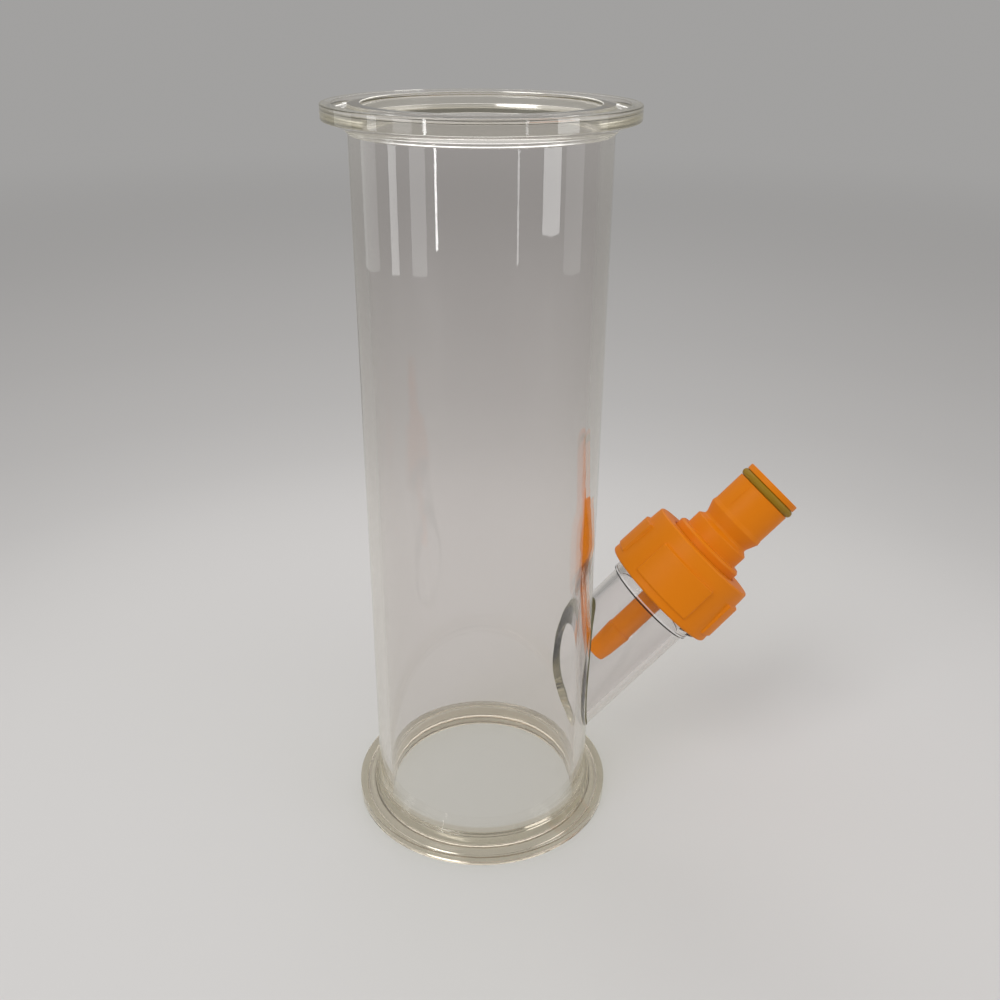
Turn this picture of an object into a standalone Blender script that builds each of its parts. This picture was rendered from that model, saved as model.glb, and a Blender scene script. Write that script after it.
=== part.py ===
"""Clear cylindrical dosing chamber with a clamp ferrule at each end, a 45 degree
threaded side arm, and a union nut that holds a spring-valved quick-disconnect post.

The scene is in metres, +Z up; sizes below are in millimetres and degrees. The chamber
stands upright on Z = 0 and the side arm leans towards +X. Every outline is a list of
(radius, distance along the axis). The arm's pieces measure that distance from the
chamber's axis, under one empty that is tilted by the arm's angle.
"""

import math

import bpy
import numpy as np

MM = 0.001

# --- fits ------------------------------------------------------------------
BOND = 0.05             # radial glue line between the tube and its sockets
GAP = 0.1               # between other neighbouring pieces

# --- chamber ---------------------------------------------------------------
HEIGHT = 169.4          # face to face
FERRULE_R = 32.0        # 64 mm clamp ferrule, 2 inch size
FERRULE_BAND = 3.0      # straight edge of the ferrule
FERRULE_TAPER = 20.0    # the clamp's cone on the back of the ferrule
FERRULE_EDGE = 0.25     # chamfer at the face
COLLAR_R = 27.3
COLLAR_EDGE_R, COLLAR_EDGE_H = 0.2, 0.3
FERRULE_H = 5.5         # face to the end of the socket collar
SOCKET_FLOOR = 2.0      # the tube stands on this step inside the ferrule
TUBE_R = 26.8
BORE_R = 24.0
GROOVE_R = 28.15        # gasket groove in the ferrule's face
GROOVE_HALF = 1.55
GROOVE_DEEP = 1.4
GROOVE_STEPS = 5
CORE_BOTTOM = -20.0     # the cutter that trims the arm starts below the chamber

# --- side arm and neck -----------------------------------------------------
ARM_ANGLE = 45.0        # above the horizontal
ARM_Z = 6.8             # where the arm's axis meets the chamber's axis
ARM_R = 11.875
ARM_BORE = 10.0
ARM_START = 14.0        # inside the chamber's bore, trimmed flush later
ARM_END = 60.75
PORT_END = 75.0         # outer end of the port cutter
NECK_R = 12.55
NECK_FROM, NECK_TO = ARM_END + GAP, 75.0
NECK_REAR_EDGE, NECK_FRONT_EDGE = 0.2, 0.5

# --- threads ---------------------------------------------------------------
THREAD_PITCH = 2.7
THREAD_CREST = 13.7
THREAD_FROM, THREAD_TO = 62.7, 73.4
THREAD_START = 300.0    # degrees round the neck
THREAD_STEP = 20.0      # degrees between sections
RIDGE_HALF_ROOT, RIDGE_HALF_CREST = 0.62, 0.28
RIDGE_SINK = 0.35       # how far a ridge reaches into its wall
RIDGE_LEAST = 0.02      # share of the full height left at a ridge's tips
NUT_THREAD_FROM = 65.3

# --- seal, flange and union nut --------------------------------------------
SEAL_FROM, SEAL_TO = NECK_TO + GAP, 76.5
FLANGE_FROM, FLANGE_TO = SEAL_TO + GAP, 78.1
NUT_BORE = 13.95
NUT_CREST = 12.95
NUT_REAR, NUT_FRONT = 63.8, 79.7
NUT_BORE_EDGE = 0.3
NUT_HOLE = 10.05
NUT_WALL = FLANGE_TO + GAP  # inner face of the nut's end wall

# --- grip pads on the nut --------------------------------------------------
PAD_COUNT = 4
PAD_START, PAD_HALF = 57.0, 31.0  # first pad's centre and half width, degrees
PAD_FROM, PAD_TO = 66.0, 75.5
PAD_INNER, PAD_OUTER = 14.7, 16.15
PAD_EDGE = 0.35
PAD_END_DROP = 0.3      # how much lower the top is at the pad's two ends
PAD_STEPS = 6

# --- post and valve --------------------------------------------------------
POST_TIP = 103.3
POST_BORE = 5.0
TIP_R = 7.65
TIP_EDGE = 0.2
VALVE_R = 4.9           # the stem's head and the retainer, inside the post's bore
STEM_BORE = 1.9
STEM_TO = 80.9
RETAINER_FROM, RETAINER_TO = 81.1, 82.5
COLLAR_FROM, COLLAR_TO = 95.0, 96.2  # the poppet's collar
SPRING_R, SPRING_WIRE_R, SPRING_TURNS = 3.65, 0.32, 6.5
SPRING_STEPS = 12       # sections per turn
WIRE_SIDES = 6
ORING_R, ORING_AT, ORING_SECTION_R = 7.15, 100.7, 0.9
ORING_SIDES = 8

LEAN = math.radians(ARM_ANGLE)
# The box round the whole object is centred on X = 0.
TIP_REACH = (POST_TIP - TIP_EDGE) * math.cos(LEAN) + TIP_R * math.sin(LEAN)
TUBE_X = -(TIP_REACH - FERRULE_R) / 2

# --- finishes --------------------------------------------------------------
CLEAR = dict(colour=(0.86, 0.88, 0.86), roughness=0.05, transmission=1.0)
ORANGE = dict(colour=(0.75, 0.2, 0.01), roughness=0.35)
SEAL_CREAM = dict(colour=(0.75, 0.73, 0.68), roughness=0.6)
RETAINER_GREY = dict(colour=(0.7, 0.7, 0.68), roughness=0.45)
POPPET_GREY = dict(colour=(0.8, 0.8, 0.78), roughness=0.35)
BLACK = dict(colour=(0.05, 0.05, 0.05), roughness=0.6)
SPRING_METAL = dict(colour=(0.6, 0.6, 0.6), roughness=0.3, metallic=1.0)
ORING_BROWN = dict(colour=(0.24, 0.19, 0.03), roughness=0.55)

# --- scene -----------------------------------------------------------------
for old in list(bpy.data.objects):
    bpy.data.objects.remove(old, do_unlink=True)
bpy.context.scene.unit_settings.system = "METRIC"
bpy.context.scene.unit_settings.scale_length = 1.0

arm_frame = bpy.data.objects.new("arm_axis", None)
arm_frame.location = (TUBE_X * MM, 0.0, ARM_Z * MM)
arm_frame.rotation_euler = (0.0, math.radians(90.0) - LEAN, 0.0)
bpy.context.scene.collection.objects.link(arm_frame)


# --- helpers ---------------------------------------------------------------
def material(name, colour, roughness, metallic=0.0, transmission=0.0):
    mat = bpy.data.materials.new(name)
    mat.use_nodes = True
    inputs = mat.node_tree.nodes["Principled BSDF"].inputs
    inputs["Base Color"].default_value = (*colour, 1.0)
    inputs["Roughness"].default_value = roughness
    inputs["Metallic"].default_value = metallic
    inputs["Transmission Weight"].default_value = transmission
    mat.diffuse_color = (*colour, 1.0)
    return mat


def add(name, points, faces, finish, parent):
    """A mesh object turned to face outwards. A finish gives it a material of its name."""
    points = np.asarray(points, float)
    volume = 0.0  # signed, six times over
    for face in faces:
        first = points[face[0]]
        for i in range(1, len(face) - 1):
            volume += float(np.dot(first, np.cross(points[face[i]], points[face[i + 1]])))
    if volume < 0:
        faces = [tuple(reversed(face)) for face in faces]
    mesh = bpy.data.meshes.new(name)
    mesh.from_pydata([tuple(point * MM) for point in points], [], faces)
    mesh.validate()
    mesh.update()
    obj = bpy.data.objects.new(name, mesh)
    bpy.context.scene.collection.objects.link(obj)
    if finish:
        mesh.materials.append(material(name, **finish))
    obj.parent = parent
    return obj


def smooth(obj, angle):
    for polygon in obj.data.polygons:
        polygon.use_smooth = True
    obj.data.set_sharp_from_angle(angle=math.radians(angle))


def on_circle(radius, angle, z):
    return (radius * math.cos(angle), radius * math.sin(angle), z)


def revolve(name, outline, segments, finish, parent=None, centre_x=0.0):
    """A closed outline turned about Z. A radius of 0 is a pole."""
    points, rings = [], []
    for radius, z in outline:
        if radius == 0:
            rings.append([len(points)] * segments)
            points.append((centre_x, 0.0, z))
            continue
        rings.append(list(range(len(points), len(points) + segments)))
        for i in range(segments):
            x, y, z = on_circle(radius, 2 * math.pi * i / segments, z)
            points.append((centre_x + x, y, z))
    faces = []
    for k, here in enumerate(rings):
        following = (k + 1) % len(rings)
        if outline[k][0] == 0 and outline[following][0] == 0:
            continue
        there = rings[following]
        for i in range(segments):
            j = (i + 1) % segments
            corners = (here[i], here[j], there[j], there[i])
            faces.append(tuple(dict.fromkeys(corners)))  # a pole counts once
    obj = add(name, points, faces, finish, parent)
    smooth(obj, angle=35.0)
    return obj


def on_chamber(name, outline, finish=None):
    return revolve(name, outline, 64, finish, centre_x=TUBE_X)


def on_arm(name, outline, segments, finish=None):
    return revolve(name, outline, segments, finish, parent=arm_frame)


def band(inner, outer, start, end):
    """The outline of a plain ring, or of a solid cylinder if inner is 0."""
    return [(inner, start), (outer, start), (outer, end), (inner, end)]


def sweep(name, rings, finish=None):
    """Closed sections on the arm joined one after another, with flat end caps."""
    points = [point for ring in rings for point in ring]
    size = len(rings[0])
    last = len(points) - size
    faces = []
    for here in range(0, last, size):
        there = here + size
        for i in range(size):
            j = (i + 1) % size
            faces.append((here + i, here + j, there + j, there + i))
    faces.append(tuple(reversed(range(size))))
    faces.append(tuple(range(last, len(points))))
    return add(name, points, faces, finish, arm_frame)


def thread(name, root, crest, start, end, phase, fade):
    """A helical ridge. It rises out of the root over `fade` degrees at each end."""
    total = (end - start) / THREAD_PITCH * 360
    count = int(round(total / THREAD_STEP))
    deep = root - math.copysign(RIDGE_SINK, crest - root)
    rings = []
    for k in range(count + 1):
        turned = total * k / count
        grown = min(1.0, turned / fade, (total - turned) / fade)
        top = root + (crest - root) * max(grown, RIDGE_LEAST)
        middle = start + (end - start) * k / count
        section = (
            (deep, -RIDGE_HALF_ROOT),
            (root, -RIDGE_HALF_ROOT),
            (top, -RIDGE_HALF_CREST),
            (top, RIDGE_HALF_CREST),
            (root, RIDGE_HALF_ROOT),
            (deep, RIDGE_HALF_ROOT),
        )
        angle = math.radians(phase + turned)
        rings.append([on_circle(radius, angle, middle + z) for radius, z in section])
    return sweep(name, rings)


def boolean(obj, other, operation):
    """Leaves a live modifier; the other object becomes a hidden helper."""
    other.hide_render = True
    other.display_type = "WIRE"
    mod = obj.modifiers.new(operation.lower(), "BOOLEAN")
    mod.operation = operation
    mod.solver = "EXACT"
    mod.object = other


# --- chamber pieces --------------------------------------------------------
def build_ferrules():
    taper_h = (FERRULE_R - COLLAR_R) * math.tan(math.radians(FERRULE_TAPER))
    outline = [(BORE_R, 0.0)]
    for i in range(GROOVE_STEPS + 1):
        angle = math.pi * i / GROOVE_STEPS
        outline.append(
            (GROOVE_R - GROOVE_HALF * math.cos(angle), GROOVE_DEEP * math.sin(angle))
        )
    outline += [
        (FERRULE_R - FERRULE_EDGE, 0.0),
        (FERRULE_R, FERRULE_EDGE),
        (FERRULE_R, FERRULE_BAND),
        (COLLAR_R, FERRULE_BAND + taper_h),
        (COLLAR_R, FERRULE_H - COLLAR_EDGE_H),
        (COLLAR_R - COLLAR_EDGE_R, FERRULE_H),
        (TUBE_R + BOND, FERRULE_H),
        (TUBE_R + BOND, SOCKET_FLOOR),
        (BORE_R, SOCKET_FLOOR),
    ]
    on_chamber("bottom_ferrule", outline, CLEAR)
    on_chamber("top_ferrule", [(radius, HEIGHT - z) for radius, z in outline], CLEAR)


def build_main_tube():
    """The chamber's wall, with a port for the arm."""
    low = SOCKET_FLOOR + GAP
    tube = on_chamber("main_tube", band(BORE_R, TUBE_R, low, HEIGHT - low), CLEAR)
    port = on_arm("port_cutter", band(0, ARM_R + GAP, ARM_START, PORT_END), 48)
    boolean(tube, port, "DIFFERENCE")


# --- arm pieces ------------------------------------------------------------
def build_side_arm():
    """The arm's tube, cut flush with the chamber's bore."""
    arm = on_arm("side_arm", band(ARM_BORE, ARM_R, ARM_START, ARM_END), 48, CLEAR)
    core = on_chamber("bore_cutter", band(0, BORE_R, CORE_BOTTOM, HEIGHT))
    boolean(arm, core, "DIFFERENCE")


def build_neck():
    outline = [
        (ARM_BORE, NECK_FROM),
        (NECK_R - NECK_REAR_EDGE, NECK_FROM),
        (NECK_R, NECK_FROM + NECK_REAR_EDGE),
        (NECK_R, NECK_TO - NECK_FRONT_EDGE),
        (NECK_R - NECK_FRONT_EDGE, NECK_TO),
        (ARM_BORE, NECK_TO),
    ]
    neck = on_arm("threaded_neck", outline, 48, CLEAR)
    ridge = thread(
        "neck_ridge", root=NECK_R, crest=THREAD_CREST,
        start=THREAD_FROM, end=THREAD_TO, phase=THREAD_START, fade=40.0,
    )
    boolean(neck, ridge, "UNION")


def grip_pad(name, centre):
    """A raised piece of a ring with a sloping edge all round."""
    rings = []
    for k in range(PAD_STEPS + 1):
        angle = math.radians(centre - PAD_HALF + 2 * PAD_HALF * k / PAD_STEPS)
        top = PAD_OUTER if 0 < k < PAD_STEPS else PAD_OUTER - PAD_END_DROP
        section = (
            (PAD_INNER, PAD_FROM),
            (PAD_OUTER - PAD_EDGE, PAD_FROM),
            (top, PAD_FROM + PAD_EDGE),
            (top, PAD_TO - PAD_EDGE),
            (PAD_OUTER - PAD_EDGE, PAD_TO),
            (PAD_INNER, PAD_TO),
        )
        rings.append([on_circle(radius, angle, z) for radius, z in section])
    return sweep(name, rings)


def build_union_nut():
    outline = [
        (NUT_BORE + NUT_BORE_EDGE, NUT_REAR),
        (15.5, NUT_REAR),
        (15.9, NUT_REAR + 0.5),
        (14.9, NUT_FRONT - 0.35),
        (14.55, NUT_FRONT),
        (NUT_HOLE, NUT_FRONT),
        (NUT_HOLE, NUT_WALL),
        (NUT_BORE, NUT_WALL),
        (NUT_BORE, NUT_REAR + NUT_BORE_EDGE),
    ]
    nut = on_arm("union_nut", outline, 64, ORANGE)
    for number in range(PAD_COUNT):
        pad = grip_pad(f"pad_{number}", PAD_START + 360.0 / PAD_COUNT * number)
        boolean(nut, pad, "UNION")
    # Half a pitch from the neck's ridge, so each runs in the other's groove.
    lead = NUT_THREAD_FROM - THREAD_FROM - THREAD_PITCH / 2
    ridge = thread(
        "nut_ridge", root=NUT_BORE, crest=NUT_CREST,
        start=NUT_THREAD_FROM, end=THREAD_TO,
        phase=THREAD_START + 360.0 * lead / THREAD_PITCH, fade=30.0,
    )
    boolean(nut, ridge, "UNION")


def build_post():
    """The quick-disconnect post, from its flange to its tip and back down the bore."""
    outline = [
        (POST_BORE, FLANGE_FROM), (11.9, FLANGE_FROM), (11.9, FLANGE_TO),
        (9.75, FLANGE_TO), (9.75, 81.4), (9.15, 82.0), (8.0, 82.05), (8.0, 85.7),
        (6.8, 86.6), (6.8, 87.3), (7.9, 90.2), (7.65, 91.6),
        # O-ring groove
        (7.65, 99.7), (6.15, 99.75), (6.15, 101.7), (TIP_R, 101.75),
        (TIP_R, POST_TIP - TIP_EDGE), (TIP_R - TIP_EDGE, POST_TIP),
        # mouth and valve seat
        (4.0, POST_TIP), (2.4, 101.7), (2.4, 100.6), (POST_BORE, 98.2),
    ]
    on_arm("post_body", outline, 40, ORANGE)


def build_dip_stem():
    """A barbed tail with a head that sits in the post's bore."""
    outline = [
        (STEM_BORE, 41.7), (2.3, 41.5), (2.9, 41.9), (3.2, 43.0), (3.4, 50.3),
        (3.15, 50.8), (3.15, 76.8), (VALVE_R, 77.0), (VALVE_R, STEM_TO),
        (STEM_BORE, STEM_TO),
    ]
    on_arm("dip_stem", outline, 32, ORANGE)


def build_poppet():
    outline = [
        (0, 90.6), (1.4, 90.7), (1.5, 94.9), (4.4, COLLAR_FROM), (4.4, COLLAR_TO),
        (1.7, COLLAR_TO), (1.7, 101.7), (1.1, 102.3), (0, 102.4),
    ]
    on_arm("poppet", outline, 32, POPPET_GREY)
    seal_from = COLLAR_TO + GAP
    seal = [(1.8, seal_from), (4.7, seal_from), (4.7, 98.2), (2.75, 100.0), (1.8, 100.0)]
    on_arm("poppet_seal", seal, 32, BLACK)


def build_spring():
    """A coil between the retainer and the poppet's collar."""
    start = RETAINER_TO + GAP + SPRING_WIRE_R
    end = COLLAR_FROM - GAP - SPRING_WIRE_R
    count = int(SPRING_TURNS * SPRING_STEPS)
    rings = []
    for k in range(count + 1):
        angle = 2 * math.pi * SPRING_TURNS * k / count
        centre = start + (end - start) * k / count
        ring = []
        for i in range(WIRE_SIDES):
            turn = 2 * math.pi * i / WIRE_SIDES
            radius = SPRING_R + SPRING_WIRE_R * math.cos(turn)
            ring.append(on_circle(radius, angle, centre + SPRING_WIRE_R * math.sin(turn)))
        rings.append(ring)
    smooth(sweep("poppet_spring", rings, SPRING_METAL), angle=80.0)


def build_oring():
    """The O-ring near the post's tip."""
    outline = []
    for i in range(ORING_SIDES):
        x, _, z = on_circle(ORING_SECTION_R, 2 * math.pi * i / ORING_SIDES, 0.0)
        outline.append((ORING_R + x, ORING_AT + _))
    on_arm("post_oring", outline, 40, ORING_BROWN)


build_ferrules()
build_main_tube()
build_side_arm()
build_neck()
on_arm("neck_seal", band(9.0, 12.2, SEAL_FROM, SEAL_TO), 48, SEAL_CREAM)
build_union_nut()
build_post()
build_dip_stem()
on_arm("spring_retainer", band(2.6, VALVE_R, RETAINER_FROM, RETAINER_TO), 32, RETAINER_GREY)
build_poppet()
build_spring()
build_oring()
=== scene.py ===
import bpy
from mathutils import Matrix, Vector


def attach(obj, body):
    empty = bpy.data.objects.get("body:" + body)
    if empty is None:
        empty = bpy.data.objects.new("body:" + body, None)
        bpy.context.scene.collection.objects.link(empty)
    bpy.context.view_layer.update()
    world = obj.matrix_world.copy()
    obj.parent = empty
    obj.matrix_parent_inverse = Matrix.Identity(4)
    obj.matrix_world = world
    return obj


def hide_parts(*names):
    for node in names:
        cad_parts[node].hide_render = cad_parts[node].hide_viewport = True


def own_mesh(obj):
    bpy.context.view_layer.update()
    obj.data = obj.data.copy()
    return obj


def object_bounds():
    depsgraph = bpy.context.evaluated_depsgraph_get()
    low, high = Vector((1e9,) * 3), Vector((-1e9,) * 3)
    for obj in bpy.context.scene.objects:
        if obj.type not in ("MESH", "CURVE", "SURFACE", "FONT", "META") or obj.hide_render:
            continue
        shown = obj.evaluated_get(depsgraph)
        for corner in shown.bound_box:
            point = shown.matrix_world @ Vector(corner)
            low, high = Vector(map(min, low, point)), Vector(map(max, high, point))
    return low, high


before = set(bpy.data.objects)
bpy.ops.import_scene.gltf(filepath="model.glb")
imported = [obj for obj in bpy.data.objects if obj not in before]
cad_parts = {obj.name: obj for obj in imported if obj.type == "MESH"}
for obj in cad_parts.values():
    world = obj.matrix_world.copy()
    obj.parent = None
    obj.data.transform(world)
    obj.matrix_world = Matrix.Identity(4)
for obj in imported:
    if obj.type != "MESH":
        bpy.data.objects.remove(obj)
cad_lo, cad_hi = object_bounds()
cad_lo, cad_hi = [float(v) for v in cad_lo], [float(v) for v in cad_hi]

import math

import bpy
import numpy as np
from mathutils import Matrix, Vector

MM = 0.001
LEAN = math.radians(45.0)
COS = math.cos(LEAN)
TIP_EDGE, TIP_R, POST_TIP = 0.2, 7.65, 103.3
HEIGHT = 169.4
TUBE_X = -((POST_TIP - TIP_EDGE + TIP_R) * COS - 32.0) / 2
ARM_Z = 6.8

# local frames, in millimetres: columns are the local axes, then the origin
TUBE_FRAME = (np.eye(3), np.array([TUBE_X, 0.0, 0.0]))
ARM_FRAME = (
    np.array([[COS, 0.0, COS], [0.0, 1.0, 0.0], [-COS, 0.0, COS]]),
    np.array([TUBE_X, 0.0, ARM_Z]),
)
AXIS = ARM_FRAME[0][:, 2]


# --- outlines with rounded corners -------------------------------------------
def outline(corners, steps=5):
    """Corners (r, z, fillet) of a closed outline to edges (r0, z0, r1, z1, normal at 0, normal at 1).

    A negative fillet leaves the corner where it is and shades it smooth."""
    pts = np.array([(c[0], c[1]) for c in corners], float)
    rad = [c[2] if len(c) > 2 else 0.0 for c in corners]
    r, z = pts[:, 0], pts[:, 1]
    if np.sum(r * np.roll(z, -1) - np.roll(r, -1) * z) < 0:
        pts, rad = pts[::-1], rad[::-1]
    n = len(pts)
    arcs = []
    for k in range(n):
        a, p, b = pts[k - 1], pts[k], pts[(k + 1) % n]
        d1, d2 = p - a, b - p
        l1, l2 = np.linalg.norm(d1), np.linalg.norm(d2)
        d1, d2 = d1 / l1, d2 / l2
        turn = math.atan2(d1[0] * d2[1] - d1[1] * d2[0], float(d1 @ d2))
        if rad[k] < 0:
            mean = np.array([d1[1] + d2[1], -d1[0] - d2[0]])
            mean /= np.linalg.norm(mean)
            arcs.append([(p, mean, mean)])
            continue
        if rad[k] == 0 or abs(turn) < 1e-3:
            arcs.append(
                [(p, np.array([d1[1], -d1[0]]), np.array([d2[1], -d2[0]]))]
            )
            continue
        t = min(rad[k] * math.tan(abs(turn) / 2), 0.48 * l1, 0.48 * l2)
        radius = t / math.tan(abs(turn) / 2)
        sign = 1.0 if turn > 0 else -1.0
        centre = p - d1 * t + sign * np.array([-d1[1], d1[0]]) * radius
        count = max(2, int(round(steps * abs(turn) / (math.pi / 2))) + 1)
        points = []
        for i in range(count + 1):
            angle = turn * i / count
            ca, sa = math.cos(angle), math.sin(angle)
            d = np.array([d1[0] * ca - d1[1] * sa, d1[0] * sa + d1[1] * ca])
            at = centre - sign * np.array([-d[1], d[0]]) * radius
            normal = np.array([d[1], -d[0]])
            points.append((at, normal, normal))
        arcs.append(points)
    flat = [p for arc in arcs for p in arc]
    edges = []
    for k in range(len(flat)):
        p, _, out = flat[k]
        q, into, _ = flat[(k + 1) % len(flat)]
        if np.linalg.norm(q - p) < 1e-7:
            continue
        straight = np.array([(q - p)[1], -(q - p)[0]]) / np.linalg.norm(q - p)
        n0 = out if out @ straight > 0.9 else straight
        n1 = into if into @ straight > 0.9 else straight
        edges.append((*p, *q, *n0, *n1))
    return np.array(edges)


def to_world(points, place):
    basis, origin = place
    return points @ basis.T + origin


def make(name, verts_mm, faces, normals=None, material=None):
    """A mesh object from world points in mm. faces is a list of index tuples, normals one per loop."""
    mesh = bpy.data.meshes.new(name)
    mesh.from_pydata((verts_mm * MM).tolist(), [], faces)
    mesh.polygons.foreach_set("use_smooth", np.ones(len(mesh.polygons), bool))
    mesh.update()
    if normals is not None:
        mesh.normals_split_custom_set(normals.tolist())
    obj = bpy.data.objects.new(name, mesh)
    bpy.context.scene.collection.objects.link(obj)
    if material is not None:
        mesh.materials.append(material)
    return obj


def lathe_data(edges, segments, place):
    """Vertices, faces and loop normals of edges turned about the local Z."""
    angle = 2 * np.pi * np.arange(segments) / segments
    ca, sa = np.cos(angle), np.sin(angle)
    index, verts, faces, normals = {}, [], [], []
    count = 0
    basis = place[0]

    def ring(r, z):
        nonlocal count
        key = (round(float(r), 6), round(float(z), 6))
        if key not in index:
            if r < 1e-6:
                verts.append(np.array([[0.0, 0.0, z]]))
                index[key] = np.full(segments, count)
                count += 1
            else:
                verts.append(np.stack([r * ca, r * sa, np.full(segments, z)], 1))
                index[key] = np.arange(count, count + segments)
                count += segments
        return index[key]

    for r0, z0, r1, z1, a0, b0, a1, b1 in edges:
        if r0 < 1e-6 and r1 < 1e-6:
            continue
        here, there = ring(r0, z0), ring(r1, z1)
        n0 = np.stack([a0 * ca, a0 * sa, np.full(segments, b0)], 1) @ basis.T
        n1 = np.stack([a1 * ca, a1 * sa, np.full(segments, b1)], 1) @ basis.T
        m0, m1 = np.roll(n0, -1, 0), np.roll(n1, -1, 0)
        hn, tn = np.roll(here, -1), np.roll(there, -1)
        if r0 < 1e-6:
            faces += list(zip(here.tolist(), tn.tolist(), there.tolist()))
            normals.append(np.stack([n0, m1, n1], 1).reshape(-1, 3))
        elif r1 < 1e-6:
            faces += list(zip(here.tolist(), hn.tolist(), there.tolist()))
            normals.append(np.stack([n0, m0, n1], 1).reshape(-1, 3))
        else:
            faces += list(zip(here.tolist(), hn.tolist(), tn.tolist(), there.tolist()))
            normals.append(np.stack([n0, m0, m1, n1], 1).reshape(-1, 3))
    return to_world(np.concatenate(verts), place), faces, np.concatenate(normals)


def lathe(name, corners, segments, place, material=None, steps=5):
    edges = outline(corners, steps)
    verts, faces, normals = lathe_data(edges, segments, place)
    return make(name, verts, faces, normals, material)


def helix(name, rings, place, material=None, smooth=True):
    """Closed sections joined one after another, with flat caps, in the local frame."""
    rings = np.array(rings)
    count, size, _ = rings.shape
    verts = to_world(rings.reshape(-1, 3), place)
    faces = []
    for k in range(count - 1):
        for i in range(size):
            j = (i + 1) % size
            a, b = k * size, (k + 1) * size
            faces.append((a + i, a + j, b + j, b + i))
    faces.append(tuple(reversed(range(size))))
    faces.append(tuple(range((count - 1) * size, count * size)))
    six = 0.0
    v = verts
    for f in faces:
        for i in range(1, len(f) - 1):
            six += float(np.dot(v[f[0]], np.cross(v[f[i]], v[f[i + 1]])))
    if six < 0:
        faces = [tuple(reversed(f)) for f in faces]
    obj = make(name, verts, faces, None, material)
    if smooth:
        obj.data.set_sharp_from_angle(angle=math.radians(40))
    return obj


def thread_rings(root, crest, half_root, half_crest, start, end, pitch, phase, step, fade):
    turns = (end - start) / pitch
    count = int(round(turns * 360 / step))
    rings = []
    for k in range(count + 1):
        turned = turns * 360 * k / count
        grown = max(0.02, min(1.0, turned / fade, (turns * 360 - turned) / fade))
        grown = grown * grown * (3 - 2 * grown) if grown < 1 else 1.0
        top = root + (crest - root) * max(grown, 0.02)
        angle = math.radians(phase + turned)
        mid = start + (end - start) * k / count
        deep = root - math.copysign(0.35, crest - root)
        ease = (top - root) * 0.16
        ring = []
        for r, z in (
            (deep, mid - half_root),
            (root, mid - half_root),
            (top - ease, mid - half_crest - 0.07),
            (top, mid - half_crest + 0.08),
            (top, mid + half_crest - 0.08),
            (top - ease, mid + half_crest + 0.07),
            (root, mid + half_root),
            (deep, mid + half_root),
        ):
            ring.append((r * math.cos(angle), r * math.sin(angle), z))
        rings.append(ring)
    return rings


def apply_boolean(obj, other, operation):
    """The result as a new plain mesh on obj. The other object is removed."""
    mod = obj.modifiers.new("b", "BOOLEAN")
    mod.operation = operation
    mod.solver = "EXACT"
    mod.object = other
    bpy.context.view_layer.update()
    dg = bpy.context.evaluated_depsgraph_get()
    mesh = bpy.data.meshes.new_from_object(obj.evaluated_get(dg), depsgraph=dg)
    obj.modifiers.clear()
    obj.data = mesh
    bpy.data.objects.remove(other, do_unlink=True)
    return obj


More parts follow.
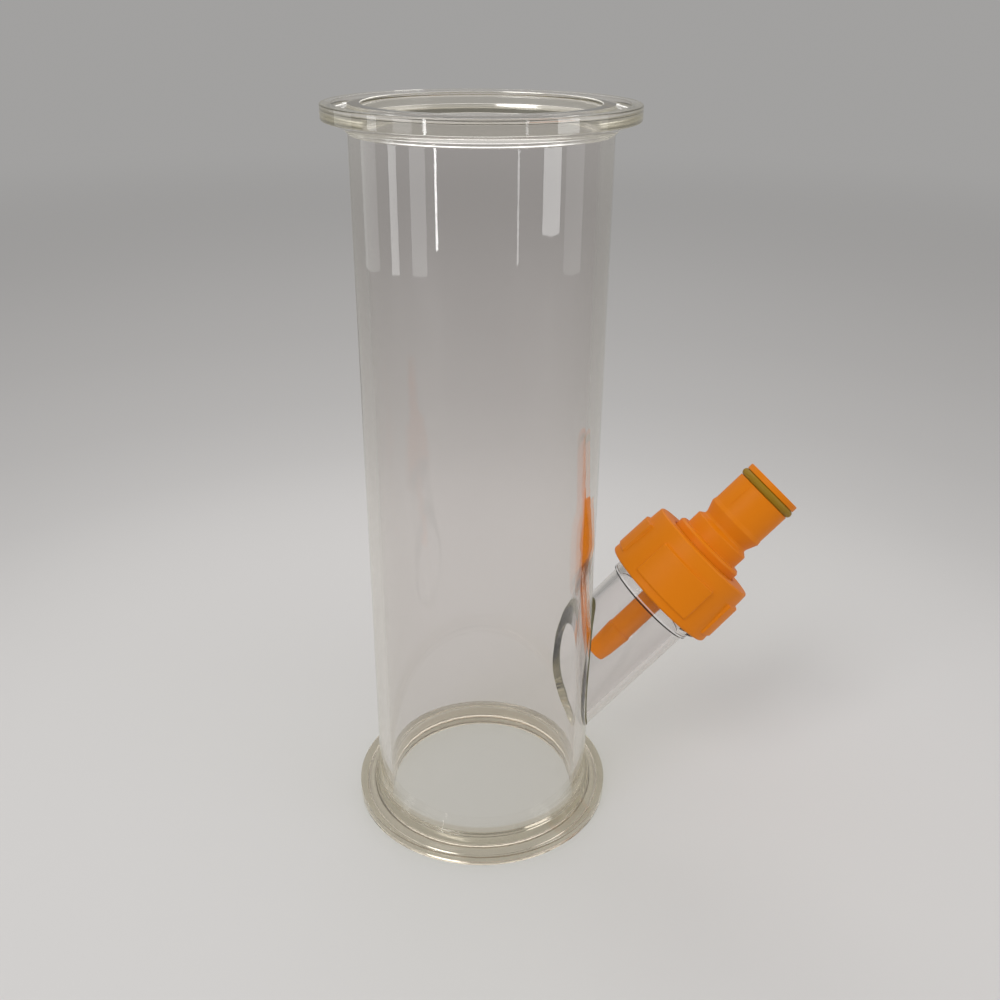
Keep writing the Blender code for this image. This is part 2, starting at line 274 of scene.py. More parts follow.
def exact_normals(mesh, families):
    """Loop normals worked out from the outlines that the faces lie on, so that long thin faces shade right."""
    nl = len(mesh.loops)
    co = np.empty(len(mesh.vertices) * 3, np.float32)
    mesh.vertices.foreach_get("co", co)
    co = co.reshape(-1, 3).astype(float) / MM
    vi = np.empty(nl, np.int32)
    mesh.loops.foreach_get("vertex_index", vi)
    npoly = len(mesh.polygons)
    total = np.empty(npoly, np.int32)
    mesh.polygons.foreach_get("loop_total", total)
    poly = np.repeat(np.arange(npoly), total)
    fn = np.empty(npoly * 3, np.float32)
    mesh.polygons.foreach_get("normal", fn)
    fn = fn.reshape(-1, 3).astype(float)
    lco = co[vi]
    centre = np.zeros((npoly, 3))
    np.add.at(centre, poly, lco)
    centre /= total[:, None]
    best = np.full(npoly, 0.06)
    found = np.repeat(fn, total, axis=0)
    left = np.ones(npoly, bool)
    for place, edges in families:
        basis, origin = place
        local = (centre - origin) @ basis
        nloc = fn @ basis
        theta = np.arctan2(local[:, 1], local[:, 0])
        rc = np.hypot(local[:, 0], local[:, 1])
        nr = nloc[:, 0] * np.cos(theta) + nloc[:, 1] * np.sin(theta)
        nt = -nloc[:, 0] * np.sin(theta) + nloc[:, 1] * np.cos(theta)
        nz = nloc[:, 2]
        # the largest distance of a corner from the centre's angle limits how far a facet leans
        e = edges
        d = e[:, 2:4] - e[:, 0:2]
        length2 = (d**2).sum(1)
        mid = (e[:, 4:6] + e[:, 6:8]) / 2
        mid /= np.linalg.norm(mid, axis=1)[:, None]
        here_best = np.full(npoly, 9.0)
        here_edge = np.zeros(npoly, int)
        for k in range(len(e)):
            t = ((rc - e[k, 0]) * d[k, 0] + (local[:, 2] - e[k, 1]) * d[k, 1]) / length2[k]
            t = t.clip(0, 1)
            dist = np.hypot(
                rc - e[k, 0] - t * d[k, 0], local[:, 2] - e[k, 1] - t * d[k, 1]
            )
            same = nr * mid[k, 0] + nz * mid[k, 1]
            dist = np.where((same > 0.93) & (np.abs(nt) < 0.12), dist, 9.0)
            better = dist < here_best
            here_best[better] = dist[better]
            here_edge[better] = k
        take = here_best < best
        best[take] = here_best[take]
        left &= ~take
        loops = take[poly]
        ll = (lco[loops] - origin) @ basis
        k = here_edge[poly[loops]]
        th = np.arctan2(ll[:, 1], ll[:, 0])
        r = np.hypot(ll[:, 0], ll[:, 1])
        t = ((r - e[k, 0]) * d[k, 0] + (ll[:, 2] - e[k, 1]) * d[k, 1]) / length2[k]
        t = t.clip(0, 1)[:, None]
        n2 = e[k, 4:6] * (1 - t) + e[k, 6:8] * t
        n2 /= np.linalg.norm(n2, axis=1)[:, None]
        n3 = np.stack([n2[:, 0] * np.cos(th), n2[:, 0] * np.sin(th), n2[:, 1]], 1)
        found[loops] = n3 @ basis.T
    return found, int(left.sum())


# --- materials ---------------------------------------------------------------
def principled(name):
    mat = bpy.data.materials.new(name)
    mat.use_nodes = True
    tree = mat.node_tree
    return mat, tree, tree.nodes["Principled BSDF"]


def link(tree, a, b):
    tree.links.new(a, b)


def node(tree, kind, **values):
    """A node with its properties and, for names of inputs, their default values set."""
    made = tree.nodes.new(kind)
    for key, value in values.items():
        if hasattr(made, key) and key not in made.inputs:
            setattr(made, key, value)
    for key, value in values.items():
        if key.replace("_", " ") in made.inputs:
            made.inputs[key.replace("_", " ")].default_value = value
    return made


def clear_plastic():
    """Clear plastic: drawn tube with faint upright lines, turned ferrules with a faint painted glow in place of a
    milky haze, painted shade on the lower ferrule, and a painted shade line and a painted highlight line at the
    neck's seam.
    """
    mat, tree, bsdf = principled("clear_plastic")
    bsdf.inputs["IOR"].default_value = 1.5
    bsdf.inputs["Specular IOR Level"].default_value = 0.35
    bsdf.inputs["Transmission Weight"].default_value = 1.0
    out = tree.nodes["Material Output"]
    coords = tree.nodes.new("ShaderNodeTexCoord")
    split = tree.nodes.new("ShaderNodeSeparateXYZ")
    link(tree, coords.outputs["Object"], split.inputs[0])
    # painted shade: the lower ferrule stands in its own shade, so its colour is made browner than the rest
    foot = node(tree, "ShaderNodeMapRange", From_Min=0.0060, From_Max=0.0054)
    link(tree, split.outputs["Z"], foot.inputs["Value"])
    painted_foot_shade = node(tree, "ShaderNodeVectorMath", operation="MULTIPLY_ADD")
    link(tree, foot.outputs[0], painted_foot_shade.inputs[0])
    painted_foot_shade.inputs[1].default_value = (-0.19, -0.235, -0.325)
    painted_foot_shade.inputs[2].default_value = (0.93, 0.915, 0.925)
    link(tree, painted_foot_shade.outputs["Vector"], bsdf.inputs["Base Color"])
    # 1 on the two ferrules, 0 on the tube and the arm
    mid = node(tree, "ShaderNodeMath", operation="SUBTRACT")
    link(tree, split.outputs["Z"], mid.inputs[0])
    mid.inputs[1].default_value = HEIGHT * MM / 2
    size = node(tree, "ShaderNodeMath", operation="ABSOLUTE")
    link(tree, mid.outputs[0], size.inputs[0])
    ends = node(tree, "ShaderNodeMapRange", From_Min=0.0789, From_Max=0.0794)
    link(tree, size.outputs[0], ends.inputs["Value"])
    rough = node(tree, "ShaderNodeMapRange", To_Min=0.02, To_Max=0.05)
    link(tree, ends.outputs[0], rough.inputs["Value"])
    link(tree, rough.outputs[0], bsdf.inputs["Roughness"])
    # upright lines on the tube, from how it was drawn
    lines = node(tree, "ShaderNodeMapping")
    lines.inputs["Scale"].default_value = (1.0, 1.0, 0.06)
    link(tree, coords.outputs["Object"], lines.inputs["Vector"])
    fine = node(tree, "ShaderNodeTexNoise", Scale=260.0, Detail=1.0)
    link(tree, lines.outputs[0], fine.inputs["Vector"])
    bump = node(tree, "ShaderNodeBump", Strength=0.07, Distance=0.0002)
    link(tree, fine.outputs["Fac"], bump.inputs["Height"])
    link(tree, bump.outputs[0], bsdf.inputs["Normal"])
    # painted light: the ferrules glow faintly, standing in for a thin milky haze
    painted_glow = node(tree, "ShaderNodeEmission", Color=(1.0, 0.95, 0.80, 1), Strength=0.5)
    painted_glow_amount = node(tree, "ShaderNodeMapRange", To_Min=0.0, To_Max=0.09)
    link(tree, ends.outputs[0], painted_glow_amount.inputs["Value"])
    # painted shade: the lower ferrule glows less than the top one
    glow_after_foot_shade = node(tree, "ShaderNodeMath", operation="MULTIPLY_ADD")
    link(tree, foot.outputs[0], glow_after_foot_shade.inputs[0])
    glow_after_foot_shade.inputs[1].default_value = -0.06
    link(tree, painted_glow_amount.outputs[0], glow_after_foot_shade.inputs[2])
    clear = tree.nodes.new("ShaderNodeMixShader")
    link(tree, glow_after_foot_shade.outputs[0], clear.inputs[0])
    link(tree, bsdf.outputs[0], clear.inputs[1])
    link(tree, painted_glow.outputs[0], clear.inputs[2])
    mat.cycles.emission_sampling = "NONE"
    path = tree.nodes.new("ShaderNodeLightPath")
    # the seam where the threaded ring sits on the arm: a painted dark line for the shade there, with a painted
    # highlight line beside it, seen by camera rays only
    rel = node(tree, "ShaderNodeVectorMath", operation="SUBTRACT")
    link(tree, coords.outputs["Object"], rel.inputs[0])
    rel.inputs[1].default_value = tuple(ARM_FRAME[1] * MM)
    along = node(tree, "ShaderNodeVectorMath", operation="DOT_PRODUCT")
    link(tree, rel.outputs["Vector"], along.inputs[0])
    along.inputs[1].default_value = tuple(AXIS)
    far = node(tree, "ShaderNodeVectorMath", operation="LENGTH")
    link(tree, rel.outputs["Vector"], far.inputs[0])
    square = [node(tree, "ShaderNodeMath", operation="POWER") for _ in range(2)]
    link(tree, along.outputs["Value"], square[0].inputs[0])
    link(tree, far.outputs["Value"], square[1].inputs[0])
    for one in square:
        one.inputs[1].default_value = 2.0
    off = node(tree, "ShaderNodeMath", operation="SUBTRACT")
    link(tree, square[1].outputs[0], off.inputs[0])
    link(tree, square[0].outputs[0], off.inputs[1])
    on_arm = node(tree, "ShaderNodeMath", operation="LESS_THAN")
    link(tree, off.outputs[0], on_arm.inputs[0])
    on_arm.inputs[1].default_value = 0.013**2
    seen = node(tree, "ShaderNodeMath", operation="MULTIPLY")
    link(tree, on_arm.outputs[0], seen.inputs[0])
    link(tree, path.outputs["Is Camera Ray"], seen.inputs[1])
    for at, half_width, strength, amount in ((0.06078, 0.00024, 0.02, 0.9), (0.06132, 0.00016, 0.9, 0.35)):
        band = node(tree, "ShaderNodeMath", operation="COMPARE")
        link(tree, along.outputs["Value"], band.inputs[0])
        band.inputs[1].default_value = at
        band.inputs[2].default_value = half_width
        used = node(tree, "ShaderNodeMath", operation="MULTIPLY")
        link(tree, band.outputs[0], used.inputs[0])
        link(tree, seen.outputs[0], used.inputs[1])
        share = node(tree, "ShaderNodeMath", operation="MULTIPLY")
        link(tree, used.outputs[0], share.inputs[0])
        share.inputs[1].default_value = amount
        # painted light: a near-black emission paints the shade line and a bright emission paints the highlight line
        painted_seam_light = node(tree, "ShaderNodeEmission", Color=(1, 1, 1, 1), Strength=strength)
        lined = tree.nodes.new("ShaderNodeMixShader")
        link(tree, share.outputs[0], lined.inputs[0])
        link(tree, clear.outputs[0], lined.inputs[1])
        link(tree, painted_seam_light.outputs[0], lined.inputs[2])
        clear = lined
    # lamps and soft light pass straight through, so nothing inside goes dark
    through = tree.nodes.new("ShaderNodeBsdfTransparent")
    through.inputs["Color"].default_value = (0.93, 0.94, 0.93, 1)
    either = node(tree, "ShaderNodeMath", operation="MAXIMUM")
    link(tree, path.outputs["Is Shadow Ray"], either.inputs[0])
    link(tree, path.outputs["Is Diffuse Ray"], either.inputs[1])
    mix = tree.nodes.new("ShaderNodeMixShader")
    link(tree, either.outputs[0], mix.inputs[0])
    link(tree, clear.outputs[0], mix.inputs[1])
    link(tree, through.outputs[0], mix.inputs[2])
    link(tree, mix.outputs[0], out.inputs["Surface"])
    soak = tree.nodes.new("ShaderNodeVolumeAbsorption")
    soak.inputs["Color"].default_value = (0.80, 0.76, 0.54, 1)
    soak.inputs["Density"].default_value = 36.0
    link(tree, soak.outputs[0], out.inputs["Volume"])
    return mat


def plastic(name, colour, roughness, grain=0.0, coat=0.0, ior=1.5, sub=0.0, spec=0.5):
    mat, tree, bsdf = principled(name)
    bsdf.inputs["Base Color"].default_value = (*colour, 1)
    bsdf.inputs["Roughness"].default_value = roughness
    bsdf.inputs["IOR"].default_value = ior
    bsdf.inputs["Specular IOR Level"].default_value = spec
    bsdf.inputs["Coat Weight"].default_value = coat
    bsdf.inputs["Coat Roughness"].default_value = 0.25
    if sub:
        bsdf.inputs["Subsurface Weight"].default_value = sub
        bsdf.inputs["Subsurface Radius"].default_value = (0.004, 0.0015, 0.0004)
        bsdf.inputs["Subsurface Scale"].default_value = 1.0
    if grain:
        coords = tree.nodes.new("ShaderNodeTexCoord")
        noise = tree.nodes.new("ShaderNodeTexNoise")
        noise.inputs["Scale"].default_value = 900.0
        noise.inputs["Detail"].default_value = 3.0
        link(tree, coords.outputs["Object"], noise.inputs["Vector"])
        bump = tree.nodes.new("ShaderNodeBump")
        bump.inputs["Strength"].default_value = grain
        bump.inputs["Distance"].default_value = 0.0001
        link(tree, noise.outputs["Fac"], bump.inputs["Height"])
        link(tree, bump.outputs[0], bsdf.inputs["Normal"])
        wide = tree.nodes.new("ShaderNodeTexNoise")
        wide.inputs["Scale"].default_value = 60.0
        wide.inputs["Detail"].default_value = 4.0
        link(tree, coords.outputs["Object"], wide.inputs["Vector"])
        ramp = tree.nodes.new("ShaderNodeMapRange")
        ramp.inputs["To Min"].default_value = roughness - 0.05
        ramp.inputs["To Max"].default_value = roughness + 0.07
        link(tree, wide.outputs["Fac"], ramp.inputs["Value"])
        link(tree, ramp.outputs[0], bsdf.inputs["Roughness"])
    return mat


def steel(name):
    mat, tree, bsdf = principled(name)
    bsdf.inputs["Base Color"].default_value = (0.62, 0.62, 0.63, 1)
    bsdf.inputs["Metallic"].default_value = 1.0
    bsdf.inputs["Roughness"].default_value = 0.28
    return mat


CLEAR = clear_plastic()
ORANGE = plastic("orange_plastic", (0.76, 0.212, 0.002), 0.45, grain=0.08, spec=0.14)
STEM = plastic("orange_stem", (1.0, 0.27, 0.0), 0.42, grain=0.05, spec=0.15)
OLIVE = plastic("oring_rubber", (0.31, 0.178, 0.006), 0.55, grain=0.05, spec=0.2)
WASHER = plastic("washer_rubber", (0.62, 0.6, 0.55), 0.6, grain=0.05)
VALVE = plastic("valve_plastic", (0.55, 0.55, 0.52), 0.4, grain=0.05)
BLACK = plastic("valve_rubber", (0.02, 0.02, 0.02), 0.55, grain=0.05)
STEEL = steel("spring_steel")

# --- the clear body: tube, ferrules, arm and neck as one moulding -------------
S = 288
half, deep = 1.55, 1.4
groove = [(28.15 - half, 0.0, 0.25)]
for i in range(1, 20):
    a = math.pi * i / 20
    groove.append((28.15 - half * math.cos(a), deep * math.sin(a), -1.0))
groove.append((28.15 + half, 0.0, 0.25))
taper = (32.0 - 27.3) * math.tan(math.radians(20.0))


def end_face(flip):
    """The ferrule's outside, from the bore's edge to the tube's wall."""
    pts = [(24.0, 0.0, 0.35)]
    pts += groove
    pts += [
        (32.0, 0.0, 0.35),
        (32.0, 3.0, 0.3),
        (27.3, 3.0 + taper, 0.5),
        (27.3, 5.2, 0.25),
        (26.8, 5.5, 0.4),
    ]
    return [(r, HEIGHT - z if flip else z, f) for r, z, f in pts]


body_corners = end_face(False) + list(reversed(end_face(True)))
body_edges = outline(body_corners, 5)


verts, faces, normals = lathe_data(body_edges, S, TUBE_FRAME)
body = make("clear_body", verts, faces, normals, CLEAR)

A = 192
arm_corners = [
    (0.0, 14.0, 0.0),
    (11.875, 14.0, 0.0),
    (11.875, 60.75, 0.12),
    (12.55, 60.85, 0.2),
    (12.55, 75.0, 0.4),
    (0.0, 75.0, 0.0),
]
arm_edges = outline(arm_corners, 4)
v, f, n = lathe_data(arm_edges, A, ARM_FRAME)
arm = make("arm_solid", v, f, n)
ridge = helix(
    "ridge",
    thread_rings(12.55, 13.7, 0.62, 0.28, 62.7, 73.4, 2.7, 300.0, 4.0, 24.0),
    ARM_FRAME,
    smooth=False,
)
arm = apply_boolean(arm, ridge, "UNION")
# keep only what is outside the chamber's bore
core_edges = outline([(0, -10, 0), (24.0, -10, 0), (24.0, 120, 0), (0, 120, 0)])
v, f, n = lathe_data(core_edges, S, TUBE_FRAME)
core = make("core", v, f, n)
arm = apply_boolean(arm, core, "DIFFERENCE")
body = apply_boolean(body, arm, "UNION")
bore_corners = [(0.0, 14.0, 0.0), (10.0, 14.0, 0.0), (10.0, 76.0, 0.0), (0.0, 76.0, 0.0)]
bore_edges = outline(bore_corners)
v, f, n = lathe_data(bore_edges, A, ARM_FRAME)
bore = make("bore", v, f, n)
body = apply_boolean(body, bore, "DIFFERENCE")
inward = bore_edges.copy()
inward[:, 4:] *= -1
mesh = body.data
mesh.polygons.foreach_set("use_smooth", np.ones(len(mesh.polygons), bool))
for name in ("sharp_edge", "sharp_face", "custom_normal"):
    if name in mesh.attributes:
        mesh.attributes.remove(mesh.attributes[name])
found, left = exact_normals(
    mesh, [(TUBE_FRAME, body_edges), (ARM_FRAME, arm_edges), (ARM_FRAME, inward)]
)
mesh.normals_split_custom_set(found.tolist())
mesh.materials.clear()
mesh.materials.append(CLEAR)
print("clear body", len(mesh.polygons), "faces,", left, "shaded flat")
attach(body, "chamber")
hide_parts("main_tube", "top_ferrule", "bottom_ferrule", "side_arm", "threaded_neck")

# --- the bond between arm and tube: a bead, thickest in the sharp corner on top, coloured dark as painted shade for the outline of the arm's opening -----
def saddle(rho, big, angle):
    """How far along the arm its cylinder of radius rho meets the chamber's cylinder of radius big."""
    x, y = rho * math.cos(angle), rho * math.sin(angle)
    return math.sqrt(big * big - y * y) / COS - x


def bond_painted_shade_material():
    mat, tree, bsdf = principled("bond")
    # painted shade: the dark base colour stands in for the shade along the edge of the arm's opening
    bsdf.inputs["Base Color"].default_value = (0.13, 0.12, 0.045, 1)
    bsdf.inputs["Roughness"].default_value = 0.35
    through = tree.nodes.new("ShaderNodeBsdfTransparent")
    through.inputs["Color"].default_value = (0.80, 0.78, 0.66, 1)
    mix = tree.nodes.new("ShaderNodeMixShader")
    mix.inputs[0].default_value = 0.6
    link(tree, through.outputs[0], mix.inputs[1])
    link(tree, bsdf.outputs[0], mix.inputs[2])
    link(tree, mix.outputs[0], tree.nodes["Material Output"].inputs["Surface"])
    return mat


def loop_of(name, rings, material):
    """Closed sections joined in a closed loop, in the arm's frame."""
    rings = np.array(rings)
    count, size, _ = rings.shape
    here = np.arange(count)[:, None] * size + np.arange(size)
    after = np.roll(here, -1, 0)
    faces = np.stack([here, np.roll(here, -1, 1), np.roll(after, -1, 1), after], -1).reshape(-1, 4)
    return make(name, to_world(rings.reshape(-1, 3), ARM_FRAME), [tuple(q) for q in faces.tolist()], None, material)


BOND_PAINTED_SHADE = bond_painted_shade_material()
bead = []
for k in range(192):
    a = 2 * math.pi * k / 192
    size = 0.2 + 1.15 * ((1 - math.cos(a)) / 2) ** 24
    mid_z = saddle(11.9, 26.8, a) + 0.5 * size
    bead.append([
        (
            (11.85 + size * math.cos(t)) * math.cos(a),
            (11.85 + size * math.cos(t)) * math.sin(a),
            mid_z + 1.3 * size * math.sin(t),
        )
        for t in [2 * math.pi * i / 12 for i in range(12)]
    ])
obj = loop_of("bond_bead_painted_shade", bead, BOND_PAINTED_SHADE)
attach(obj, "chamber")

# --- neck seal ------------------------------------------------------------------
seal = lathe(
    "neck_washer",
    [(9.0, 75.1, 0.2), (12.2, 75.1, 0.2), (12.2, 76.5, 0.2), (9.0, 76.5, 0.2)],
    128,
    ARM_FRAME,
    WASHER,
)
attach(seal, "seal")
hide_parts("neck_seal")


# --- union nut --------------------------------------------------------------------
def nut_mesh(name):
    """The nut's outside has raised pads, so it's a grid of radius over height and angle."""
    prof = outline(
        [
            (14.25, 63.8, 0.3),
            (15.6, 63.8, 0.25),
            (15.92, 64.15, 0.5),
            (14.92, 79.35, 0.3),
            (14.6, 79.7, 0.25),
            (10.05, 79.7, 0.3),
            (10.05, 78.2, 0.1),
            (13.95, 78.2, 0.2),
            (13.95, 64.1, 0.2),
        ],
        5,
    )
    pts = []
    for e in prof:
        long = math.hypot(e[2] - e[0], e[3] - e[1])
        outer = min(e[0], e[2]) > 14.5 and long > 3
        parts = 150 if outer else 1
        for i in range(parts):
            t = i / parts
            pts.append((e[0] + (e[2] - e[0]) * t, e[1] + (e[3] - e[1]) * t, outer and True))
    pts = np.array(pts, float)
    count, segments = len(pts), 720
    ang = 2 * np.pi * np.arange(segments) / segments
    r = np.repeat(pts[:, 0][:, None], segments, 1)
    z = np.repeat(pts[:, 1][:, None], segments, 1)
    outside = (pts[:, 2] > 0.5)[:, None]

    def step(x, width):
        t = np.clip(x / width + 0.5, 0, 1)
        return t * t * (3 - 2 * t)

    off = np.abs((np.degrees(ang) - 57.0 + 45.0) % 90.0 - 45.0)
    round_r = 15.5
    side = np.radians(31.0 - off) * round_r
    across = step(side, 0.45)[None, :]
    along = step(z - 66.0, 0.45) * step(75.5 - z, 0.45)
    pad_r = 16.2 - (z - 66.0) * 0.022
    r = np.where(outside, r + np.maximum(pad_r - r, 0) * across * along, r)
    verts = np.stack([r * np.cos(ang), r * np.sin(ang), z], -1).reshape(-1, 3)
    k = np.arange(count)
    i = np.arange(segments)
    here = k[:, None] * segments + i
    faces = np.stack(
        [
            here,
            k[:, None] * segments + (i + 1) % segments,
            ((k + 1) % count)[:, None] * segments + (i + 1) % segments,
            ((k + 1) % count)[:, None] * segments + i,
        ],
        -1,
    ).reshape(-1, 4)
    obj = make(name, to_world(verts, ARM_FRAME), [tuple(q) for q in faces.tolist()], None, ORANGE)
    obj.data.set_sharp_from_angle(angle=math.radians(50))
    return obj


nut = nut_mesh("union_nut_shell")
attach(nut, "nut")
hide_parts("union_nut")
nut_thread = helix(
    "union_nut_thread",
    thread_rings(
        13.95, 12.95, 0.62, 0.28, 65.3, 73.4, 2.7,
        300.0 + 360.0 * (65.3 - 62.7 - 1.35) / 2.7, 4.0, 30.0,
    ),
    ARM_FRAME,
    ORANGE,
)
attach(nut_thread, "nut")

# --- post ----------------------------------------------------------------------------
post = lathe(
    "post_shell",
    [
        (5.0, 76.6, 0.2),
        (11.9, 76.6, 0.3),
        (11.9, 78.1, 0.3),
        (9.75, 78.1, 0.1),
        (9.75, 81.4, 0.3),
        (9.2, 82.0, 0.2),
        (8.0, 82.05, 0.25),
        (8.0, 85.7, 0.35),
        (6.8, 86.6, 0.5),
        (6.8, 87.3, 0.6),
        (7.9, 90.2, 0.35),
        (7.65, 91.4, 0.6),
        (7.65, 99.72, 0.2),
        (6.15, 99.75, 0.1),
        (6.15, 101.7, 0.1),
        (7.65, 101.75, 0.2),
        (7.65, 103.3, 0.3),
        (4.0, 103.3, 0.3),
        (2.4, 101.7, 0.2),
        (2.4, 100.6, 0.1),
        (5.0, 98.2, 0.2),
    ],
    256,
    ARM_FRAME,
    ORANGE,
)
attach(post, "post")
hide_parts("post_body")

# a fine parting line along the barrel
line = []
for k in range(25):
    z = 92.3 + 6.6 * k / 24
    fade = min(1.0, k / 2, (24 - k) / 2)
    line.append([
        (r * math.cos(math.radians(205) + w / 7.65), r * math.sin(math.radians(205) + w / 7.65), z)
        for r, w in ((7.5, -0.1), (7.65 + 0.06 * fade, -0.07), (7.65 + 0.06 * fade, 0.07), (7.5, 0.1))
    ])
parting = helix("post_parting_line", line, ARM_FRAME, ORANGE)
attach(parting, "post")

stem = lathe(
    "stem_tail",
    [
        (1.6, 41.5, 0.2),
        (2.45, 41.5, 0.6),
        (2.95, 44.0, 1.0),
        (3.4, 50.3, 0.15),
        (3.15, 50.8, 0.25),
        (3.15, 76.8, 0.1),
        (4.9, 77.0, 0.1),
        (4.9, 80.9, 0.2),
        (1.9, 80.9, 0.2),
        (1.9, 43.0, 0.2),
    ],
    128,
    ARM_FRAME,
    STEM,
)
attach(stem, "post")
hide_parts("dip_stem")

ring = lathe(
    "oring",
    [
        (7.15 + 0.9 * math.cos(2 * math.pi * i / 40), 100.735 + 0.99 * math.sin(2 * math.pi * i / 40), -1.0)
        for i in range(40)
    ],
    256,
    ARM_FRAME,
    OLIVE,
)
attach(ring, "post")
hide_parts("post_oring")

keeper = lathe(
    "retainer",
    [(2.6, 81.1, 0.2), (4.9, 81.1, 0.2), (4.9, 82.5, 0.2), (2.6, 82.5, 0.2)],
    96,
    ARM_FRAME,
    VALVE,
)
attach(keeper, "post")
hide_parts("spring_retainer")

pin = lathe(
    "valve_pin",
    [
        (0.0, 90.6, 0.0),
        (1.5, 90.6, 0.5),
        (1.5, 95.0, 0.1),
        (4.4, 95.0, 0.2),
        (4.4, 96.2, 0.2),
        (1.7, 96.2, 0.1),
        (1.7, 102.4, 0.7),
        (0.0, 102.4, 0.0),
    ],
    96,
    ARM_FRAME,
    VALVE,
)
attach(pin, "poppet")
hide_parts("poppet")

face = lathe(
    "valve_face",
    [(1.8, 96.3, 0.1), (4.7, 96.3, 0.2), (4.7, 98.2, 0.2), (2.75, 100.0, 0.2), (1.8, 100.0, 0.1)],
    96,
    ARM_FRAME,
    BLACK,
)
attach(face, "poppet")
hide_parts("poppet_seal")

coil_r, wire, turns = 3.65, 0.32, 6.5
z0, z1 = 82.6 + wire, 94.9 - wire
rings, count = [], int(turns * 48)
for k in range(count + 1):
    share = k / count
    a = 2 * math.pi * turns * share
    c = z0 + (z1 - z0) * share
    ring_pts = []
    for i in range(14):
        t = 2 * math.pi * i / 14
        r = coil_r + wire * math.cos(t)
        ring_pts.append((r * math.cos(a), r * math.sin(a), c + wire * math.sin(t)))
    rings.append(ring_pts)
spring = helix("valve_spring", rings, ARM_FRAME, STEEL)
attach(spring, "post")
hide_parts("poppet_spring")
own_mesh(spring)

# --- floor, light and camera ------------------------------------------------------------
NEAR_FLOOR = (0.66, 0.65, 0.645)
FAR_TONE = 0.36
LIT_WORLD = 0.62
BACKDROP = (1.0, 0.985, 0.97)

floor_mesh = bpy.data.meshes.new("floor")
floor_mesh.from_pydata([(-30, -30, 0), (30, -30, 0), (30, 30, 0), (-30, 30, 0)], [], [(0, 1, 2, 3)])
floor = bpy.data.objects.new("floor", floor_mesh)
bpy.context.scene.collection.objects.link(floor)
floor.location.z = -0.0001
floor_mat, ft, bsdf = principled("floor")
bsdf.inputs["Roughness"].default_value = 0.7
bsdf.inputs["Specular IOR Level"].default_value = 0.2
where = ft.nodes.new("ShaderNodeNewGeometry")
far = ft.nodes.new("ShaderNodeVectorMath")
far.operation = "DISTANCE"
far.inputs[1].default_value = (TUBE_X * MM, 0.0, 0.0)
link(ft, where.outputs["Position"], far.inputs[0])
# painted light: the floor's colour is brightest close to the object and falls off with distance, a painted pool of
# light
reach = ft.nodes.new("ShaderNodeMapRange")
reach.inputs["From Min"].default_value = 0.0
reach.inputs["From Max"].default_value = 1.0
link(ft, far.outputs["Value"], reach.inputs["Value"])
tone = ft.nodes.new("ShaderNodeValToRGB")
tone.color_ramp.interpolation = "B_SPLINE"
light_pool_falloff = ((0.0, 1.0), (0.13, 1.0), (0.18, 0.95), (0.23, 0.82), (0.30, 0.73), (0.42, 0.66), (0.65, 0.6), (1.0, 0.58))
while len(tone.color_ramp.elements) < len(light_pool_falloff):
    tone.color_ramp.elements.new(0.5)
for el, (at, share) in zip(tone.color_ramp.elements, light_pool_falloff):
    el.position = at
    el.color = (NEAR_FLOOR[0] * share, NEAR_FLOOR[1] * share, NEAR_FLOOR[2] * share, 1)
link(ft, reach.outputs[0], tone.inputs["Fac"])
link(ft, tone.outputs["Color"], bsdf.inputs["Base Color"])
# far off, the floor takes the backdrop's tone, so no edge shows between them
haze = ft.nodes.new("ShaderNodeEmission")
haze.inputs["Color"].default_value = (*BACKDROP, 1)
haze.inputs["Strength"].default_value = FAR_TONE
blend = ft.nodes.new("ShaderNodeMapRange")
blend.interpolation_type = "SMOOTHSTEP"
blend.inputs["From Min"].default_value = 0.35
blend.inputs["From Max"].default_value = 1.3
link(ft, far.outputs["Value"], blend.inputs["Value"])
over = ft.nodes.new("ShaderNodeMixShader")
link(ft, blend.outputs[0], over.inputs[0])
link(ft, bsdf.outputs[0], over.inputs[1])
link(ft, haze.outputs[0], over.inputs[2])
link(ft, over.outputs[0], ft.nodes["Material Output"].inputs["Surface"])
floor_mesh.materials.append(floor_mat)

# The world: even light for matt surfaces, a backdrop that gets brighter overhead, and a dim room
# on the camera's side, which only reflections see.
PHI, YAW = 0.16982859, 0.0185971099
world = bpy.data.worlds.new("studio")
bpy.context.scene.world = world
world.use_nodes = True
wt = world.node_tree
back = wt.nodes["Background"]
back.inputs["Color"].default_value = (*BACKDROP, 1)
path = wt.nodes.new("ShaderNodeLightPath")
coords = wt.nodes.new("ShaderNodeTexCoord")
split = wt.nodes.new("ShaderNodeSeparateXYZ")
link(wt, coords.outputs["Generated"], split.inputs[0])
high = wt.nodes.new("ShaderNodeMapRange")
high.interpolation_type = "SMOOTHSTEP"
high.inputs["From Min"].default_value = 0.2
high.inputs["From Max"].default_value = 0.9
high.inputs["To Min"].default_value = FAR_TONE
high.inputs["To Max"].default_value = 0.85
link(wt, split.outputs["Z"], high.inputs["Value"])
toward = wt.nodes.new("ShaderNodeVectorMath")
toward.operation = "DOT_PRODUCT"
toward.inputs[1].default_value = (math.sin(PHI - YAW), -math.cos(PHI - YAW), 0.0)
link(wt, coords.outputs["Generated"], toward.inputs[0])
front = wt.nodes.new("ShaderNodeMapRange")
front.interpolation_type = "SMOOTHSTEP"
front.inputs["From Min"].default_value = 0.0
front.inputs["From Max"].default_value = 0.7
front.inputs["To Min"].default_value = 1.0
front.inputs["To Max"].default_value = 0.3
link(wt, toward.outputs["Value"], front.inputs["Value"])
dim = wt.nodes.new("ShaderNodeMix")
dim.inputs["A"].default_value = 1.0
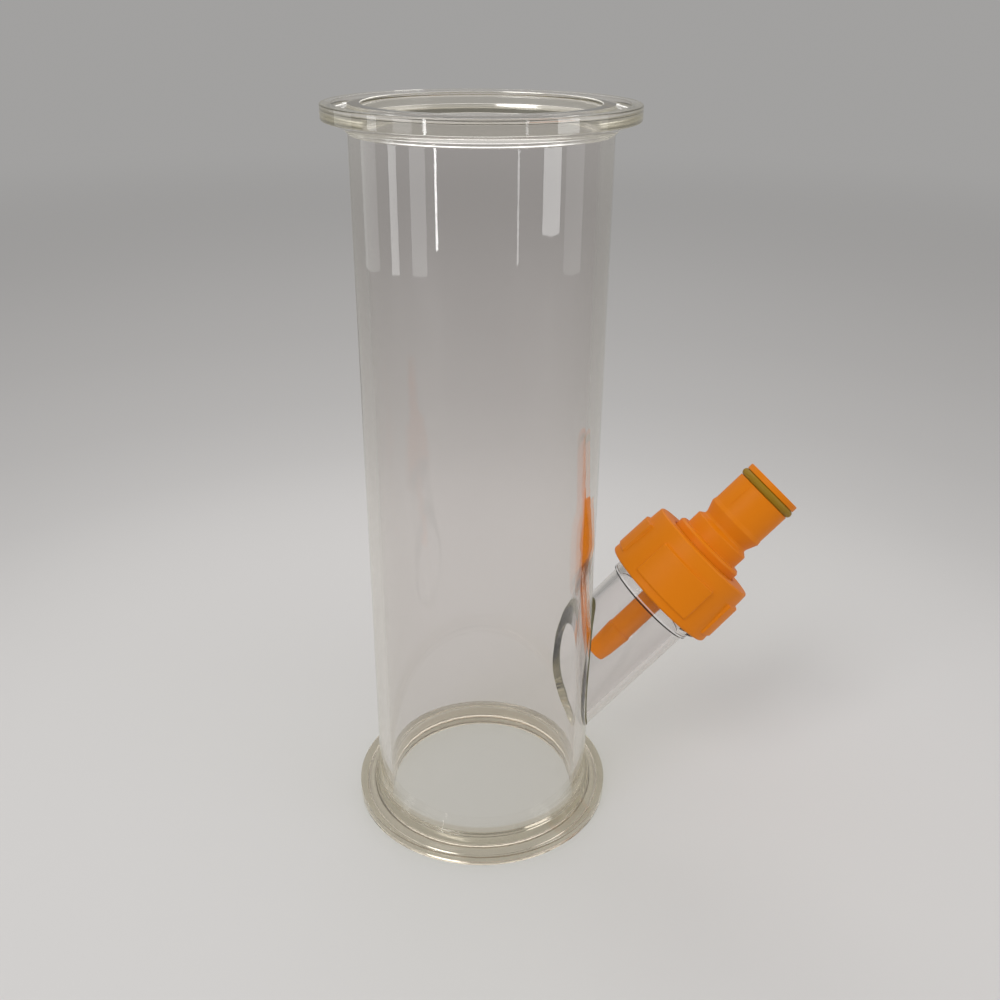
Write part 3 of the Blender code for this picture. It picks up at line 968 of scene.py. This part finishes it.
# the dim side starts a little above the horizon, so no edge shows through the tube from behind
rise = wt.nodes.new("ShaderNodeMapRange")
rise.interpolation_type = "SMOOTHSTEP"
rise.inputs["From Min"].default_value = 0.05
rise.inputs["From Max"].default_value = 0.35
link(wt, split.outputs["Z"], rise.inputs["Value"])
used = wt.nodes.new("ShaderNodeMath")
used.operation = "MULTIPLY"
link(wt, path.outputs["Is Glossy Ray"], used.inputs[0])
link(wt, rise.outputs[0], used.inputs[1])
link(wt, used.outputs[0], dim.inputs["Factor"])
link(wt, front.outputs[0], dim.inputs["B"])
shown = wt.nodes.new("ShaderNodeMath")
shown.operation = "MULTIPLY"
link(wt, high.outputs[0], shown.inputs[0])
link(wt, dim.outputs[0], shown.inputs[1])
pick = wt.nodes.new("ShaderNodeMix")
link(wt, path.outputs["Is Diffuse Ray"], pick.inputs["Factor"])
link(wt, shown.outputs[0], pick.inputs["A"])
pick.inputs["B"].default_value = LIT_WORLD
link(wt, pick.outputs[0], back.inputs["Strength"])


def area(name, place, target, size, power, colour=(1, 1, 1)):
    lamp = bpy.data.lights.new(name, "AREA")
    lamp.shape = "RECTANGLE"
    lamp.size, lamp.size_y = size
    lamp.energy = power
    lamp.color = colour
    obj = bpy.data.objects.new(name, lamp)
    bpy.context.scene.collection.objects.link(obj)
    obj.location = place
    way = Vector(target) - Vector(place)
    obj.rotation_euler = way.to_track_quat("-Z", "Y").to_euler()
    obj.visible_camera = False
    return obj


centre = (0.0, 0.0, 0.08)
area("key", (-0.45, -0.35, 0.75), centre, (0.35, 0.5), 2.4)
area("fill", (0.6, -0.45, 0.45), centre, (0.4, 0.4), 1.0)
area("rim", (0.1, 0.7, 0.6), centre, (0.5, 0.3), 1.0)


def strip(name, azimuth, distance, width, low, high, radiance):
    """A standing strip light that only reflections show. Azimuth is from the camera's side, to the right."""
    a = math.radians(azimuth) - math.radians(9.73) - math.pi / 2
    x = TUBE_X * MM + distance * math.cos(a)
    y = distance * math.sin(a)
    obj = area(
        name, (x, y, (low + high) / 2), (TUBE_X * MM, 0.0, (low + high) / 2),
        (width, high - low), radiance * math.pi * width * (high - low),
    )
    obj.visible_camera = False
    obj.visible_transmission = False
    obj.visible_diffuse = False
    return obj


strip("strip_a", -38.0, 0.6, 0.022, 0.02, 0.20, 16.0)
strip("strip_b", 30.0, 0.6, 0.016, 0.01, 0.20, 5.0)
strip("strip_c", -79.0, 0.6, 0.09, 0.0, 0.25, 3.4)
strip("strip_d", -54.0, 0.6, 0.15, 0.0, 0.25, 2.0)
strip("strip_e", 60.0, 0.6, 0.18, 0.03, 0.25, 4.6)
strip("strip_f", 84.0, 0.6, 0.22, 0.0, 0.25, 0.9)
strip("strip_g", -110.0, 0.6, 0.24, 0.0, 0.25, 0.8)

# The camera, as fitted to the object's outlines, turned so that the arm lies in the XZ plane.
F, TH, ROLL, L, H = 1064.39322, 0.444986162, 0.00698226704, 224.508026, 188.928265
fwd = np.array([math.sin(YAW) * math.cos(TH), math.cos(YAW) * math.cos(TH), -math.sin(TH)])
right = np.array([math.cos(YAW), -math.sin(YAW), 0.0])
up = np.cross(right, fwd)
r2 = right * math.cos(ROLL) + up * math.sin(ROLL)
u2 = -right * math.sin(ROLL) + up * math.cos(ROLL)
turn = np.array(
    [
        [math.cos(-PHI), -math.sin(-PHI), 0.0],
        [math.sin(-PHI), math.cos(-PHI), 0.0],
        [0.0, 0.0, 1.0],
    ]
)
r2, u2, fwd = turn @ r2, turn @ u2, turn @ fwd
place = turn @ np.array([0.0, -L, H]) + np.array([TUBE_X, 0.0, 0.0])
cam_data = bpy.data.cameras.new("camera")
cam_data.sensor_fit = "HORIZONTAL"
cam_data.sensor_width = 36.0
cam_data.lens = F * 36.0 / 1000.0
cam_data.clip_start = 0.005
camera = bpy.data.objects.new("camera", cam_data)
bpy.context.scene.collection.objects.link(camera)
m = np.eye(4)
m[:3, 0], m[:3, 1], m[:3, 2], m[:3, 3] = r2, u2, -fwd, place * MM
camera.matrix_world = Matrix(m.tolist())
bpy.context.scene.camera = camera
bpy.context.scene.view_settings.view_transform = "Standard"
# light that runs round inside the clear rims needs many bounces to get out
for kind in ("max_bounces", "glossy_bounces", "transmission_bounces"):
    setattr(bpy.context.scene.cycles, kind, 16)
